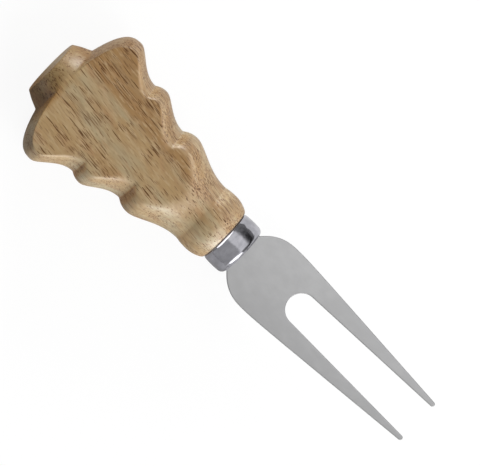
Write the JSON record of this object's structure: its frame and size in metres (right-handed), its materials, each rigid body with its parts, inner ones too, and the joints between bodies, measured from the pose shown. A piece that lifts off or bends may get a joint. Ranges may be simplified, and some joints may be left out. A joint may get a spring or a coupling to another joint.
{
  "type": "cheese fork",
  "caption": "Cheese fork with a flat forked steel blade, a polished steel ferrule and a flat-sided turned wooden handle shaped like a tiered tree, for picking up and serving cheese.",
  "frame": {"origin": "middle of the whole length and width, on the plane of the handle's back flat", "axes": "+X along the handle's axis to the tine tips, +Y across the blade, +Z out of the handle's front flat"},
  "size_m": [0.1282, 0.04, 0.0194],
  "materials": {
    "wood": "sanded light hardwood with dark open pores, under thin clear satin lacquer",
    "polished_steel": "deep drawn and polished",
    "satin_steel": "satin, with tumbled edges",
    "epoxy": "cured adhesive"
  },
  "bodies": {
    "root": {"handle": "wood", "ferrule": "polished_steel", "fork_blade": "satin_steel", "tang_adhesive": "epoxy"}
  },
  "joints": []
}
